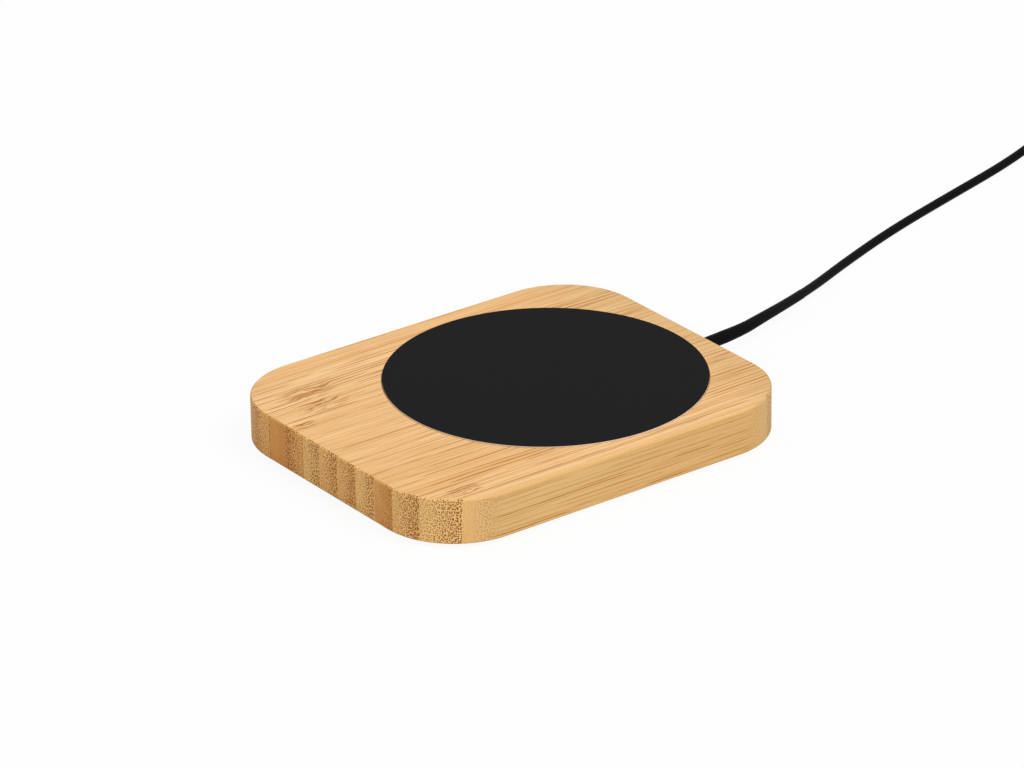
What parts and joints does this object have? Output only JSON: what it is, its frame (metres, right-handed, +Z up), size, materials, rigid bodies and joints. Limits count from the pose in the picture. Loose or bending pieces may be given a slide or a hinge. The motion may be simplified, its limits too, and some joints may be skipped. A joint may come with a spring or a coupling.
{
  "type": "electric mug warmer",
  "caption": "Electric mug warmer: round matt black heating plate let into a rounded rectangular bamboo board, with a thin cord to a USB-A plug.",
  "frame": {"origin": "middle of the board's footprint, on the surface that the feet stand on", "axes": "+Z up, +X along the board's length towards the end where the cord leaves, +Y across the board"},
  "size_m": [0.3444, 0.1112, 0.0128],
  "materials": {
    "bamboo": "oiled laminated bamboo",
    "plate_black": "matt black coating",
    "silicone_black": "matt",
    "adhesive_grey": "soft",
    "polyimide": "clear amber film",
    "track_foil": "etched foil",
    "felt": "ceramic fibre felt",
    "zinc_steel": "zinc plated",
    "fuse_case": "glazed case",
    "tinned_copper": "tinned",
    "sensor_epoxy": "epoxy",
    "board_green": "solder resist",
    "chip_black": "moulded",
    "capacitor_tan": "ceramic",
    "resistor_black": "ceramic",
    "wire_red": "PVC",
    "wire_black": "PVC",
    "cover_black": "fine spark-eroded texture",
    "clamp_plastic": "nylon",
    "screw_steel": "zinc plated",
    "foot_rubber": "matt",
    "cord_black": "soft PVC jacket",
    "tie_black": "ribbed strap",
    "plug_black": "moulded PVC",
    "plug_shell_nickel": "nickel plated, drawn",
    "plug_insert_white": "moulded",
    "contact_gold": "gold plated"
  },
  "bodies": {
    "root": {"bamboo_board": "bamboo", "heating_plate": "plate_black", "plate_gasket": "silicone_black", "thermal_adhesive": "adhesive_grey", "heater_film": "polyimide", "heater_track": "track_foil", "heater_cover_film": "polyimide", "insulation_pad": "felt", "pressing_plate": "zinc_steel", "fuse_clip": "zinc_steel", "thermal_fuse": "fuse_case", "fuse_leads": "tinned_copper", "temperature_sensor": "sensor_epoxy", "sensor_leads": "tinned_copper", "circuit_board": "board_green", "controller_chip": "chip_black", "power_transistor": "chip_black", "board_capacitors": "capacitor_tan", "board_resistors": "resistor_black", "circuit_board_screws": "screw_steel", "supply_wire_red": "wire_red", "supply_wire_black": "wire_black", "fuse_wire_red": "wire_red", "heater_wire_red": "wire_red", "heater_wire_black": "wire_black", "bottom_cover": "cover_black", "cover_screws": "screw_steel", "cord_clamp": "clamp_plastic", "cord_clamp_screws": "screw_steel", "rubber_foot_1": "foot_rubber", "rubber_foot_2": "foot_rubber", "rubber_foot_3": "foot_rubber", "rubber_foot_4": "foot_rubber", "strain_relief": "cord_black", "cord_tail": "cord_black", "cord_run": "cord_black", "cord_coil": "cord_black", "cord_end": "cord_black", "cord_tie": "tie_black", "usb_plug_body": "plug_black", "usb_plug_shell": "plug_shell_nickel", "usb_plug_insert": "plug_insert_white", "usb_plug_contacts": "contact_gold"}
  },
  "joints": []
}
